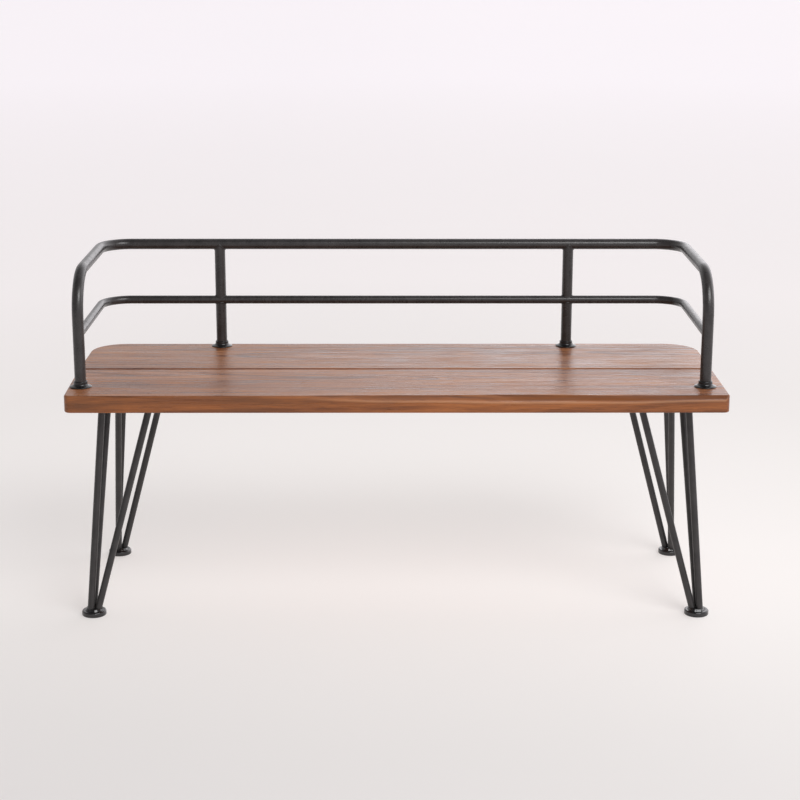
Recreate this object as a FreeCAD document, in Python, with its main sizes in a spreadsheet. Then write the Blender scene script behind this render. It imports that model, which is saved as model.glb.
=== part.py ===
import FreeCAD, Part
import math
import os
import Sketcher
from FreeCAD import Placement, Rotation, Vector

os.makedirs("parts", exist_ok=True)
doc = FreeCAD.newDocument("entryway_bench")

# ---------------------------------------------------------------- driving sizes, in millimetres
# X runs along the bench, +Y to the back, +Z up. The origin is on the floor, under the seat's centre.
SIZES = [
    ("seat_length", 1285, "whole length of the seat"),
    ("seat_depth", 455, "front edge to back edge of the seat"),
    ("seat_top", 460, "floor to the top of the planks"),
    ("plank_thick", 34, "thickness of both planks"),
    ("plank_gap", 8, "open gap between the two planks"),
    ("gap_centre", -5, "how far the gap sits from the middle of the seat"),
    ("front_lean", 6, "how far the front plank's left end leans in at the front"),
    ("rear_corner", 70, "radius of the seat's back corners, seen from above"),
    ("front_corner", 12, "radius of the seat's front corners, seen from above"),
    ("edge_round", 2.5, "rounding of the planks' long edges"),
    ("rail_shift", -4.5, "sideways offset of the back frame from the seat's centre"),
    ("post_half", 609.5, "half the distance between the two front posts"),
    ("front_post_y", -153.5, "front posts, front to back"),
    ("rear_rail_y", 205.5, "back run of both rails, front to back"),
    ("rear_post_half", 367.5, "half the distance between the two rear posts"),
    ("rear_post_shift", 2.3, "rear posts' sideways offset from the back frame's middle"),
    ("upper_rail_z", 680.2, "centre height of the upper rail"),
    ("lower_rail_z", 561.6, "centre height of the lower rail"),
    ("tube_diameter", 22.2, "upper rail, front posts and rear posts"),
    ("tube_wall", 1.6, "wall of the large tube"),
    ("front_bend", 80, "centre-line radius where the front posts turn back"),
    ("rear_bend", 60, "centre-line radius of the upper rail's back corners"),
    ("lower_diameter", 17.2, "lower rail"),
    ("lower_wall", 1.4, "wall of the lower rail"),
    ("lower_half", 611, "half the distance between the lower rail's two arms"),
    ("lower_bend", 58, "centre-line radius of the lower rail's back corners"),
    ("lower_forward", 4, "lower rail's centre in front of the rear posts' centre"),
    ("saddle_clear", 0.15, "clearance in coped tube ends and saddles"),
    ("flange_diameter", 43.5, "seat flange rim"),
    ("flange_height", 12, "seat flange"),
    ("flange_rim", 2, "thickness of the flange's flared rim"),
    ("flange_cove", 10, "radius of the flange's hollow flare"),
    ("flange_bore_clear", 0.15, "gap between a flange and its post"),
    ("foot_half_x", 601, "feet from the middle of the bench, along it"),
    ("foot_half_y", 184.4, "feet from the middle of the bench, front to back"),
    ("foot_diameter", 48, "foot disc"),
    ("foot_height", 10, "foot disc at its rim"),
    ("foot_recess", 34, "diameter of the shallow dish in the foot's top"),
    ("foot_dish", 1.5, "depth of the dish"),
    ("foot_edge", 2.4, "rounding of the foot's upper rim"),
    ("rod_diameter", 13.5, "leg rods"),
    ("rod_bundle", 8.1, "rod centres from the foot's centre, at the foot"),
    ("outer_rod_x", 573.5, "top of the two outer rods, along the bench"),
    ("corner_rod_y", 158, "top of the corner rod, front to back"),
    ("middle_rod_y", 68.5, "top of the rod nearest the bench's middle"),
    ("inner_rod_x", 480.5, "top of the inner rod, along the bench"),
    ("inner_rod_y", 156.5, "top of the inner rod, front to back"),
    ("plate_thick", 4, "leg top plate"),
    ("plate_margin", 18, "plate edge from the rod centres"),
    ("plate_corner", 8, "radius of the plate's corners"),
    ("screw_shank", 5, "wood screw shank"),
    ("screw_length", 24, "wood screw below its head"),
    ("screw_head", 10, "wood screw head diameter"),
    ("screw_head_high", 3, "wood screw head height"),
    ("screw_clear", 0.3, "clearance round a screw or bolt, on the radius"),
    ("screw_from_rod", 22, "plate screws from the middle and inner rods"),
    ("screw_from_corner", 34, "plate screws from the corner rod"),
    ("batten_length", 290, "batten under the planks, front to back"),
    ("batten_width", 45, "batten"),
    ("batten_thick", 18, "batten"),
    ("batten_spacing", 380, "outer battens from the middle one"),
    ("batten_stagger", 11, "batten screws off the batten's centre line"),
    ("batten_near", 45, "batten screws nearest the gap, from the middle of the bench"),
    ("batten_far", 120, "batten screws nearest the edge, from the middle of the bench"),
    ("bolt_shank", 8, "bolt that holds a post down"),
    ("bolt_head", 13, "bolt head across its flats"),
    ("bolt_head_high", 5.5, "bolt head height"),
    ("washer_diameter", 22, "washer under a bolt head"),
    ("washer_thick", 1.6, "washer"),
    ("plug_length", 25, "threaded plug in the foot of a post"),
]
sheet = doc.addObject("Spreadsheet::Sheet", "Sizes")
for row, (alias, value, note) in enumerate(SIZES, start=1):
    sheet.set("A%d" % row, note)
    sheet.set("B%d" % row, str(value))
    sheet.setAlias("B%d" % row, alias)
doc.recompute()


def size(alias):
    """A driving size, read from the sheet."""
    return float(sheet.get(alias))


def bind(obj, **rules):
    """Tie properties of an object to formulas in the sheet's words."""
    for prop, rule in rules.items():
        for alias, _, _ in SIZES:
            rule = replace_word(rule, alias)
        obj.setExpression(prop.replace("__", "."), rule)


def replace_word(rule, alias):
    """Put the sheet's name in front of one alias wherever it stands alone."""
    out = ""
    spot = 0
    while spot < len(rule):
        end = spot + len(alias)
        before = rule[spot - 1] if spot else " "
        after = rule[end] if end < len(rule) else " "
        alone = not (before.isalnum() or before in "_.") and not (after.isalnum() or after == "_")
        if rule[spot:end] == alias and alone:
            out += "Sizes." + alias
            spot = end
        else:
            out += rule[spot]
            spot += 1
    return out


nodes = []


def keep(obj, label):
    """Register a finished sub-part under its own label."""
    obj.Label = label
    nodes.append(obj)
    return obj


# ---------------------------------------------------------------- small building blocks
def make(kind, name, **rules):
    obj = doc.addObject("Part::" + kind, name)
    bind(obj, **rules)
    return obj


def place(obj, x, y, z, turn=None):
    """Bind a position, in the sheet's words, and set a fixed turn."""
    obj.Placement = Placement(Vector(0, 0, 0), turn or Rotation())
    bind(obj, Placement__Base__x=x, Placement__Base__y=y, Placement__Base__z=z)
    return obj


def fuse(name, shapes):
    obj = doc.addObject("Part::MultiFuse", name)
    obj.Shapes = shapes
    obj.Refine = True
    return obj


def cut(name, base, tool):
    obj = doc.addObject("Part::Cut", name)
    obj.Base = base
    obj.Tool = tool
    obj.Refine = True
    return obj


def common(name, shapes):
    obj = doc.addObject("Part::MultiCommon", name)
    obj.Shapes = shapes
    obj.Refine = True
    return obj


ALONG_X = Rotation(Vector(0, 1, 0), 90)
ALONG_Y = Rotation(Vector(1, 0, 0), -90)


def turned(x_to, y_to):
    """The turn that carries local X and Y onto two given directions."""
    x_dir = Vector(*x_to)
    y_dir = Vector(*y_to)
    return Rotation(x_dir, y_dir, x_dir.cross(y_dir), "XYZ")


SIDES = (("left", -1), ("right", 1))
ENDS = (("front", -1), ("rear", 1))


# ---------------------------------------------------------------- sketches on a body's own planes
def sketch_on(body, name, plane):
    sk = body.newObject("Sketcher::SketchObject", name)
    for feature in body.Origin.OriginFeatures:
        if feature.Role == plane:
            sk.AttachmentSupport = (feature, [""])
    sk.MapMode = "FlatFace"
    return sk


def outline(sk, corners):
    """A closed outline. Each corner is a pair of formulas, tied to the sheet."""
    points = [Vector(float(a), float(b), 0) for a, b, _, _ in corners]
    count = len(points)
    for i in range(count):
        sk.addGeometry(Part.LineSegment(points[i], points[(i + 1) % count]), False)
    for i in range(count):
        sk.addConstraint(Sketcher.Constraint("Coincident", i, 2, (i + 1) % count, 1))
    for i, (a, b, rule_a, rule_b) in enumerate(corners):
        for kind, value, rule in (("DistanceX", a, rule_a), ("DistanceY", b, rule_b)):
            number = sk.addConstraint(Sketcher.Constraint(kind, -1, 1, i, 1, float(value)))
            for alias, _, _ in SIZES:
                rule = replace_word(rule, alias)
            sk.setExpression("Constraints[%d]" % number, rule)


def holes(sk, centres, radius, rule_radius):
    """Circles in a sketch, at corner-style centres."""
    for a, b, rule_a, rule_b in centres:
        ring = sk.addGeometry(Part.Circle(Vector(a, b, 0), Vector(0, 0, 1), radius), False)
        for kind, value, rule in (("DistanceX", a, rule_a), ("DistanceY", b, rule_b)):
            number = sk.addConstraint(Sketcher.Constraint(kind, -1, 1, ring, 3, float(value)))
            for alias, _, _ in SIZES:
                rule = replace_word(rule, alias)
            sk.setExpression("Constraints[%d]" % number, rule)
        number = sk.addConstraint(Sketcher.Constraint("Radius", ring, radius))
        rule = rule_radius
        for alias, _, _ in SIZES:
            rule = replace_word(rule, alias)
        sk.setExpression("Constraints[%d]" % number, rule)


def worth(rule):
    """The present value of a formula written in the sheet's words."""
    words = doc.addObject("App::FeaturePython", "Worth")
    words.addProperty("App::PropertyFloat", "Value")
    bind(words, Value=rule)
    words.recompute()
    value = words.Value
    doc.removeObject(words.Name)
    return value


def corner(rule_a, rule_b):
    return (worth(rule_a), worth(rule_b), rule_a, rule_b)


def pad(body, sk, name, rule):
    feature = body.newObject("PartDesign::Pad", name)
    feature.Profile = sk
    feature.Length = worth(rule)
    bind(feature, Length=rule)
    sk.Visibility = False
    return feature


def pocket_through(body, sk, name):
    feature = body.newObject("PartDesign::Pocket", name)
    feature.Profile = sk
    feature.Type = 1
    feature.Midplane = True
    return feature


def round_edges(body, base, name, rule, chosen):
    """Round the edges of a body's last feature for which the test holds."""
    doc.recompute()
    picked = ["Edge%d" % (i + 1) for i, e in enumerate(base.Shape.Edges) if chosen(e)]
    feature = body.newObject("PartDesign::Fillet", name)
    feature.Base = (base, picked)
    feature.Radius = worth(rule)
    bind(feature, Radius=rule)
    body.Tip = feature
    doc.recompute()
    return feature


def upright(edge):
    ends = [v.Point for v in edge.Vertexes]
    return len(ends) == 2 and math.hypot(ends[0].x - ends[1].x, ends[0].y - ends[1].y) < 1e-6


def at_height(edge, z):
    return all(abs(v.Z - z) < 1e-6 for v in edge.Vertexes)


# ---------------------------------------------------------------- what stands where
def post_spots(label):
    """Centres of a plank's two posts, as formulas."""
    if label == "front":
        return ["rail_shift - post_half", "rail_shift + post_half"], "front_post_y"
    middle = "rail_shift + rear_post_shift"
    return [middle + " - rear_post_half", middle + " + rear_post_half"], "rear_rail_y"


def leg_screw_spots(sx, sy):
    """Four screws of one leg plate: three round the triangle, one inside it."""
    inner = "(inner_rod_x + screw_from_rod)"
    between = "(outer_rod_x - screw_from_corner)"
    near = "(middle_rod_y + screw_from_rod)"
    within = "(corner_rod_y - screw_from_corner)"
    pairs = [(inner, "corner_rod_y"), (between, "corner_rod_y"), ("outer_rod_x", near), (between, within)]
    return [("%d * %s" % (sx, a), "%d * %s" % (sy, b)) for a, b in pairs]


def batten_screw_spots(centre, sy):
    """Two screws that hold one batten to one plank."""
    return [("%s - batten_stagger" % centre, "%d * batten_near" % sy),
            ("%s + batten_stagger" % centre, "%d * batten_far" % sy)]


BATTENS = (("left", "-1 * batten_spacing"), ("middle", "0"), ("right", "1 * batten_spacing"))


# ---------------------------------------------------------------- seat planks
def plank(label, sy, corners, round_here, radius_rule):
    body = doc.addObject("PartDesign::Body", label + "_plank_body")
    body.Placement = Placement(Vector(0, 0, size("seat_top") - size("plank_thick")), Rotation())
    bind(body, Placement__Base__z="seat_top - plank_thick")
    sk = sketch_on(body, label + "_plank_outline", "XY_Plane")
    outline(sk, corners)
    slab = pad(body, sk, label + "_plank_slab", "plank_thick")
    body.Tip = slab
    rounded = round_edges(body, slab, label + "_plank_corners", radius_rule,
                          lambda e: upright(e) and round_here(e.Vertexes[0].Point))
    small = round_edges(body, rounded, label + "_plank_edges", "edge_round",
                        lambda e: at_height(e, size("plank_thick")) or at_height(e, 0))
    pilots = sketch_on(body, label + "_plank_pilots", "XY_Plane")
    screws = []
    for _, sx in SIDES:
        screws += leg_screw_spots(sx, sy)
    for _, centre in BATTENS:
        screws += batten_screw_spots(centre, sy)
    holes(pilots, [corner(a, b) for a, b in screws], size("screw_shank") / 2 + size("screw_clear"),
          "screw_shank / 2 + screw_clear")
    bored = body.newObject("PartDesign::Pocket", label + "_plank_pilot_holes")
    bored.Profile = pilots
    bored.Reversed = True
    bored.Length = size("screw_length") + 2
    bind(bored, Length="screw_length + 2")
    body.Tip = bored
    through = sketch_on(body, label + "_plank_bolt_holes", "XY_Plane")
    xs, y = post_spots(label)
    holes(through, [corner(x, y) for x in xs], size("bolt_shank") / 2 + size("screw_clear"),
          "bolt_shank / 2 + screw_clear")
    drilled = pocket_through(body, through, label + "_plank_bolt_bores")
    body.Tip = drilled
    doc.recompute()
    return keep(body, label + "_plank")


HALF = "seat_length / 2"
GAP_FRONT = "gap_centre - plank_gap / 2"
GAP_REAR = "gap_centre + plank_gap / 2"
front_corners = [
    corner("front_lean - " + HALF, "-seat_depth / 2"),
    corner(HALF, "-seat_depth / 2"),
    corner(HALF, GAP_FRONT),
    corner("-" + HALF, GAP_FRONT),
]
rear_corners = [
    corner("-" + HALF, GAP_REAR),
    corner(HALF, GAP_REAR),
    corner(HALF, "seat_depth / 2"),
    corner("-" + HALF, "seat_depth / 2"),
]
middle_y = worth("gap_centre")
plank("front", -1, front_corners, lambda p: p.y < middle_y - size("seat_depth") / 4, "front_corner")
plank("rear", 1, rear_corners, lambda p: p.y > middle_y + size("seat_depth") / 4, "rear_corner")


# ---------------------------------------------------------------- battens that tie the planks together
def batten(label, centre):
    body = doc.addObject("PartDesign::Body", "batten_body_" + label)
    bottom = "seat_top - plank_thick - batten_thick"
    body.Placement = Placement(Vector(0, 0, worth(bottom)), Rotation())
    bind(body, Placement__Base__z=bottom)
    sk = sketch_on(body, "batten_outline_" + label, "XY_Plane")
    left = centre + " - batten_width / 2"
    right = centre + " + batten_width / 2"
    outline(sk, [corner(left, "-batten_length / 2"), corner(right, "-batten_length / 2"),
                 corner(right, "batten_length / 2"), corner(left, "batten_length / 2")])
    bar = pad(body, sk, "batten_bar_" + label, "batten_thick")
    body.Tip = bar
    eased = round_edges(body, bar, "batten_edges_" + label, "edge_round",
                        lambda e: upright(e) or at_height(e, 0))
    pilots = sketch_on(body, "batten_holes_" + label, "XY_Plane")
    spots = batten_screw_spots(centre, -1) + batten_screw_spots(centre, 1)
    holes(pilots, [corner(a, b) for a, b in spots], size("screw_shank") / 2 + size("screw_clear"),
          "screw_shank / 2 + screw_clear")
    drilled = pocket_through(body, pilots, "batten_bores_" + label)
    body.Tip = drilled
    doc.recompute()
    return keep(body, "batten_" + label)


for label, centre in BATTENS:
    batten(label, centre)


# ---------------------------------------------------------------- screws and bolts
def screw(name, x, y, under, length):
    """A pan-head wood screw that points up, its head resting on the face called under."""
    shank = place(make("Cylinder", name + "_shank", Radius="screw_shank / 2", Height=length), x, y, under)
    tip = place(make("Cone", name + "_tip", Radius1="screw_shank / 2", Radius2="screw_shank / 8",
                     Height="screw_shank"), x, y, "%s + %s" % (under, length))
    disc = place(make("Cylinder", name + "_disc", Radius="screw_head / 2", Height="screw_head_high"),
                 x, y, "%s - screw_head_high" % under)
    crown = place(make("Sphere", name + "_crown", Radius="screw_head"), x, y,
                  "%s + screw_head * 0.866 - screw_head_high * 0.9" % under)
    head = common(name + "_head", [disc, crown])
    slot_a = place(make("Box", name + "_slot_a", Length="screw_head / 2", Width="screw_head / 9",
                        Height="screw_head_high"),
                   "%s - screw_head / 4" % x, "%s - screw_head / 18" % y,
                   "%s - screw_head_high * 1.5" % under)
    slot_b = place(make("Box", name + "_slot_b", Length="screw_head / 9", Width="screw_head / 2",
                        Height="screw_head_high"),
                   "%s - screw_head / 18" % x, "%s - screw_head / 4" % y,
                   "%s - screw_head_high * 1.5" % under)
    whole = fuse(name + "_whole", [shank, tip, head])
    drive = fuse(name + "_drive", [slot_a, slot_b])
    return cut(name, whole, drive)


def group(label, members):
    obj = doc.addObject("Part::Compound", label + "_set")
    obj.Links = members
    return keep(obj, label)


PLATE_UNDER = "seat_top - plank_thick - plate_thick"
BATTEN_UNDER = "seat_top - plank_thick - batten_thick"
for end, sy in ENDS:
    for side, sx in SIDES:
        spots = leg_screw_spots(sx, sy)
        tag = "leg_screw_%s_%s" % (end, side)
        members = [screw("%s_%d" % (tag, i), a, b, PLATE_UNDER, "(screw_length - screw_shank)")
                   for i, (a, b) in enumerate(spots)]
        group("leg_screws_%s_%s" % (end, side), members)
for label, centre in BATTENS:
    spots = batten_screw_spots(centre, -1) + batten_screw_spots(centre, 1)
    members = [screw("batten_screw_%s_%d" % (label, i), a, b, BATTEN_UNDER,
                     "(screw_length + batten_thick - plate_thick - screw_shank)")
               for i, (a, b) in enumerate(spots)]
    group("batten_screws_" + label, members)


def post_bolt(name, x, y):
    """A hexagon bolt, head down, from under the seat into the threaded plug of a post."""
    under = "seat_top - plank_thick - washer_thick"
    shank = place(make("Cylinder", name + "_shank", Radius="bolt_shank / 2 - 0.05",
                       Height="plank_thick + washer_thick + plug_length * 0.8"), x, y, under)
    head = doc.addObject("Part::Prism", name + "_hex")
    head.Polygon = 6
    bind(head, Circumradius="bolt_head / sqrt(3)", Height="bolt_head_high")
    place(head, x, y, "%s - bolt_head_high" % under)
    return fuse(name, [shank, head])


def washer(name, x, y):
    under = "seat_top - plank_thick - washer_thick"
    disc = place(make("Cylinder", name + "_disc", Radius="washer_diameter / 2", Height="washer_thick"),
                 x, y, under)
    bore = place(make("Cylinder", name + "_bore", Radius="bolt_shank / 2 + screw_clear",
                      Height="washer_thick * 3"), x, y, under + " - washer_thick")
    return cut(name, disc, bore)


def plug(name, x, y):
    """A threaded plug pressed into the lower end of a post."""
    body = place(make("Cylinder", name + "_body", Radius="tube_diameter / 2 - tube_wall - 0.05",
                      Height="plug_length"), x, y, "seat_top")
    bore = place(make("Cylinder", name + "_bore", Radius="bolt_shank / 2", Height="plug_length * 2"),
                 x, y, "seat_top - plug_length / 2")
    return cut(name, body, bore)


bolts = []
washers = []
plugs = []
for end, _ in ENDS:
    xs, y = post_spots(end)
    for (side, _), x in zip(SIDES, xs):
        tag = "%s_%s" % (end, side)
        bolts.append(post_bolt("post_bolt_" + tag, x, y))
        washers.append(washer("post_washer_" + tag, x, y))
        plugs.append(plug("post_plug_" + tag, x, y))
group("post_bolts", bolts)
group("post_washers", washers)
group("post_plugs", plugs)


# ---------------------------------------------------------------- bent rails
def hoop_bar(name, sx, radius, half, z, back_y, bend, front_bend_rule=None):
    """A solid bar along one end of a rail: the arm and its back corner.

    The upper rail's hoop also turns down at the front into a post.
    """
    x_arm = "rail_shift + %d * (%s)" % (sx, half)
    parts = []
    arm_start = "front_post_y"
    if front_bend_rule:
        arm_start = "front_post_y + %s" % front_bend_rule
        parts.append(place(make("Cylinder", name + "_post", Radius=radius,
                                Height="%s - %s - seat_top" % (z, front_bend_rule)),
                           x_arm, "front_post_y", "seat_top"))
        turn = make("Torus", name + "_front_bend", Radius1=front_bend_rule, Radius2=radius)
        turn.Angle3 = 90
        parts.append(place(turn, x_arm, arm_start, "%s - %s" % (z, front_bend_rule),
                           turned((0, -1, 0), (0, 0, 1))))
    parts.append(place(make("Cylinder", name + "_arm", Radius=radius,
                            Height="%s - %s - (%s)" % (back_y, bend, arm_start)),
                       x_arm, arm_start, z, ALONG_Y))
    turn = make("Torus", name + "_rear_bend", Radius1=bend, Radius2=radius)
    turn.Angle3 = 90
    way = turned((1, 0, 0), (0, 1, 0)) if sx > 0 else turned((0, 1, 0), (-1, 0, 0))
    parts.append(place(turn, "rail_shift + %d * (%s - %s)" % (sx, half, bend), "%s - %s" % (back_y, bend),
                       z, way))
    return fuse(name, parts)


def back_bar(name, radius, half, z, back_y, bend):
    """A solid bar along a rail's straight back run."""
    return place(make("Cylinder", name, Radius=radius, Height="2 * (%s - %s)" % (half, bend)),
                 "rail_shift - (%s - %s)" % (half, bend), back_y, z, ALONG_X)


def rail_tubes(tag, radius, bore, half, z, back_y, bend, front_bend_rule=None):
    """A rail's two end hoops and its back run, as hollow tubes that are welded end to end."""
    hoops = []
    for side, sx in SIDES:
        outer = hoop_bar("%s_outer_%s" % (tag, side), sx, radius, half, z, back_y, bend, front_bend_rule)
        inner = hoop_bar("%s_inner_%s" % (tag, side), sx, bore, half, z, back_y, bend, front_bend_rule)
        hoops.append(cut("%s_hoop_%s" % (tag, side), outer, inner))
    outer = back_bar(tag + "_outer_back", radius, half, z, back_y, bend)
    inner = back_bar(tag + "_inner_back", bore, half, z, back_y, bend)
    return hoops, cut(tag + "_back", outer, inner)


TUBE = "tube_diameter / 2"
BORE = "(tube_diameter / 2 - tube_wall)"
hoops, back = rail_tubes("upper", TUBE, BORE, "post_half", "upper_rail_z", "rear_rail_y", "rear_bend",
                         "front_bend")
group("upper_rail", hoops + [back])

LOWER = "lower_diameter / 2"
LOWER_BORE = "(lower_diameter / 2 - lower_wall)"
LOWER_Y = "(rear_rail_y - lower_forward)"
hoops, back = rail_tubes("lower", LOWER, LOWER_BORE, "lower_half", "lower_rail_z", LOWER_Y, "lower_bend")
coped = []
for (side, sx), hoop in zip(SIDES, hoops):
    post_shadow = place(make("Cylinder", "post_shadow_" + side, Radius=TUBE + " + saddle_clear",
                             Height="6 * lower_diameter"),
                        "rail_shift + %d * post_half" % sx, "front_post_y",
                        "lower_rail_z - 3 * lower_diameter")
    coped.append(cut("lower_hoop_coped_" + side, hoop, post_shadow))
group("lower_rail", coped + [back])

# ---------------------------------------------------------------- rear posts
upper_shadow = place(make("Cylinder", "upper_shadow", Radius=TUBE + " + saddle_clear",
                          Height="2 * (rear_post_half + 5 * tube_diameter)"),
                     "rail_shift - rear_post_half - 5 * tube_diameter", "rear_rail_y", "upper_rail_z", ALONG_X)
lower_shadow = place(make("Cylinder", "lower_shadow", Radius=LOWER + " + saddle_clear",
                          Height="2 * (rear_post_half + 5 * tube_diameter)"),
                     "rail_shift - rear_post_half - 5 * tube_diameter", LOWER_Y, "lower_rail_z", ALONG_X)
rail_shadows = fuse("rail_shadows", [upper_shadow, lower_shadow])
for side, sx in SIDES:
    x = "rail_shift + rear_post_shift + %d * rear_post_half" % sx
    outer = place(make("Cylinder", "rear_post_outer_" + side, Radius=TUBE, Height="upper_rail_z - seat_top"),
                  x, "rear_rail_y", "seat_top")
    inner = place(make("Cylinder", "rear_post_inner_" + side, Radius=BORE, Height="upper_rail_z - seat_top"),
                  x, "rear_rail_y", "seat_top")
    hollow = cut("rear_post_hollow_" + side, outer, inner)
    keep(cut("rear_post_tube_" + side, hollow, rail_shadows), "rear_post_" + side)


# ---------------------------------------------------------------- seat flanges
def flange(label, x, y):
    """A flared collar round the foot of a post."""
    disc = place(make("Cylinder", label + "_disc", Radius="flange_diameter / 2", Height="flange_height"),
                 x, y, "seat_top")
    cove = place(make("Torus", label + "_cove", Radius1="flange_diameter / 2 + 1", Radius2="flange_cove"),
                 x, y, "seat_top + flange_rim + flange_cove")
    bore = place(make("Cylinder", label + "_bore", Radius=TUBE + " + flange_bore_clear",
                      Height="3 * flange_height"), x, y, "seat_top - flange_height")
    keep(cut(label + "_collar", disc, fuse(label + "_cuts", [cove, bore])), label)


for end, _ in ENDS:
    xs, y = post_spots(end)
    for (side, _), x in zip(SIDES, xs):
        flange("flange_%s_%s" % (end, side), x, y)


# ---------------------------------------------------------------- leg plates
def leg_plate(end, side, sx, sy):
    tag = "leg_plate_%s_%s" % (end, side)
    body = doc.addObject("PartDesign::Body", tag + "_body")
    body.Placement = Placement(Vector(0, 0, worth(PLATE_UNDER)), Rotation())
    bind(body, Placement__Base__z=PLATE_UNDER)
    sk = sketch_on(body, tag + "_outline", "XY_Plane")
    outer_x = "%d * (outer_rod_x + plate_margin)" % sx
    outer_y = "%d * (corner_rod_y + plate_margin)" % sy
    near_y = "%d * (middle_rod_y - plate_margin)" % sy
    near_x = "%d * (inner_rod_x - plate_margin)" % sx
    slim_x = "%d * (outer_rod_x - plate_margin * 0.6)" % sx
    slim_y = "%d * (corner_rod_y - plate_margin * 0.6)" % sy
    outline(sk, [corner(outer_x, outer_y), corner(near_x, outer_y), corner(near_x, slim_y),
                 corner(slim_x, near_y), corner(outer_x, near_y)])
    flat = pad(body, sk, tag + "_flat", "plate_thick")
    body.Tip = flat
    rounded = round_edges(body, flat, tag + "_corners", "plate_corner", upright)
    hole_sketch = sketch_on(body, tag + "_holes", "XY_Plane")
    holes(hole_sketch, [corner(a, b) for a, b in leg_screw_spots(sx, sy)],
          size("screw_shank") / 2 + size("screw_clear"), "screw_shank / 2 + screw_clear")
    drilled = pocket_through(body, hole_sketch, tag + "_bores")
    body.Tip = drilled
    doc.recompute()
    return keep(body, tag)


# ---------------------------------------------------------------- leg rods
# Each rod's top, and its bearing from the foot's centre in the bundle of three.
CORNER_BEARING = 315
THIRD = 120
ROD_TOPS = {
    "corner": ("outer_rod_x", "corner_rod_y", CORNER_BEARING),
    "middle": ("outer_rod_x", "middle_rod_y", CORNER_BEARING + THIRD),
    "inner": ("inner_rod_x", "inner_rod_y", CORNER_BEARING + 2 * THIRD),
}
FOOT_FLOOR = "foot_height - foot_dish"


def leg_rod(kind, end, side, sx, sy, slab):
    """A straight rod from its place in the bundle on the foot up to the plate, cut level at both ends."""
    name = "rod_%s_%s_%s" % (kind, end, side)
    top_x, top_y, bearing = ROD_TOPS[kind]
    foot_x = size("foot_half_x") + size("rod_bundle") * math.cos(math.radians(bearing))
    foot_y = size("foot_half_y") - size("rod_bundle") * math.sin(math.radians(bearing))
    low = Vector(sx * foot_x, sy * foot_y, worth(FOOT_FLOOR))
    high = Vector(sx * size(top_x), sy * size(top_y), worth(PLATE_UNDER))
    way = high - low
    spare = 4 * size("rod_diameter")
    start = low - way * (spare / way.Length)
    bar = doc.addObject("Part::Cylinder", name + "_bar")
    bind(bar, Radius="rod_diameter / 2")
    bar.Height = way.Length + 2 * spare
    bar.Placement = Placement(start, Rotation(Vector(0, 0, 1), way))
    return keep(common(name + "_cut", [bar, slab]), name)


def leg_slab(name):
    """The space between the foot's dish and the plate, which trims the rods level."""
    box = make("Box", name, Length="seat_length", Width="2 * seat_depth",
               Height="%s - (%s)" % (PLATE_UNDER, FOOT_FLOOR))
    return place(box, "-seat_length / 2", "-seat_depth", FOOT_FLOOR)


# ---------------------------------------------------------------- feet
def foot(label, x, y):
    """A turned disc with a rounded rim and a shallow dish in its top, where the rods are welded."""
    disc = make("Cylinder", label + "_disc", Radius="foot_diameter / 2", Height="foot_height")
    doc.recompute()
    eased = doc.addObject("Part::Fillet", label + "_eased")
    eased.Base = disc
    rims = [i + 1 for i, e in enumerate(disc.Shape.Edges) if len(e.Vertexes) == 1]
    top = [i for i in rims if disc.Shape.Edges[i - 1].BoundBox.ZMin > size("foot_height") / 2]
    low = [i for i in rims if i not in top]
    edge = size("foot_edge")
    eased.Edges = [(i, edge, edge) for i in top] + [(i, edge / 4, edge / 4) for i in low]
    dish = make("Cone", label + "_dish", Radius1="foot_recess / 2 - foot_dish", Radius2="foot_recess / 2",
                Height="foot_dish")
    place(dish, "0", "0", FOOT_FLOOR)
    turned_disc = cut(label + "_turned", eased, dish)
    place(turned_disc, x, y, "0")
    return keep(turned_disc, label)


trim_slab = leg_slab("rod_trim")
for end, sy in ENDS:
    for side, sx in SIDES:
        leg_plate(end, side, sx, sy)
        for kind in ROD_TOPS:
            leg_rod(kind, end, side, sx, sy, trim_slab)
        foot("foot_%s_%s" % (end, side), "%d * foot_half_x" % sx, "%d * foot_half_y" % sy)

# ---------------------------------------------------------------- check and write out
doc.recompute()
for obj in doc.Objects:
    if "Invalid" in obj.State or "Error" in obj.State:
        raise RuntimeError("%s did not rebuild: %s" % (obj.Name, obj.State))
for obj in nodes:
    shape = obj.Shape
    if shape.isNull() or not shape.isValid():
        raise RuntimeError(obj.Label + " has no valid shape")
    shape.exportStep("parts/%s.step" % obj.Label)
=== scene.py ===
import math
import bmesh
import bpy
from mathutils import Matrix, Vector, noise


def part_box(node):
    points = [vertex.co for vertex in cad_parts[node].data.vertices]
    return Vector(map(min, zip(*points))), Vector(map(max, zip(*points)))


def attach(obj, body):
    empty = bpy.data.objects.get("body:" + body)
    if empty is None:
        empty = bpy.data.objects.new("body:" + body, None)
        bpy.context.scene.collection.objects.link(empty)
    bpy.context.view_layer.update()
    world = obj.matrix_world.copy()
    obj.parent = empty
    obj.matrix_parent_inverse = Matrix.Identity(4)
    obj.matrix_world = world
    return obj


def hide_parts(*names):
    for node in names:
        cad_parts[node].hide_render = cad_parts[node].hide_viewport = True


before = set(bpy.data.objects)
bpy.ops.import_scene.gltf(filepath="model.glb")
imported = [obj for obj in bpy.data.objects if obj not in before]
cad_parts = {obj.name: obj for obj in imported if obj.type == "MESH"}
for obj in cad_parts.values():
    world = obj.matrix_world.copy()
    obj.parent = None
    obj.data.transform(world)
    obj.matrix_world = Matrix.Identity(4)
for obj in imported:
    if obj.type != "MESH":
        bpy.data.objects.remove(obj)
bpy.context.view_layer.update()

# ---------------------------------------------------------------- sizes in metres that no box gives
# Tubes and rods by their radius, bends by the radius of their centre line. HOLD is how far a ring stands
# from an end cap, and HAIR a gap too small to see.
TUBE_R = 0.0111
LOWER_R = 0.0086
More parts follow.
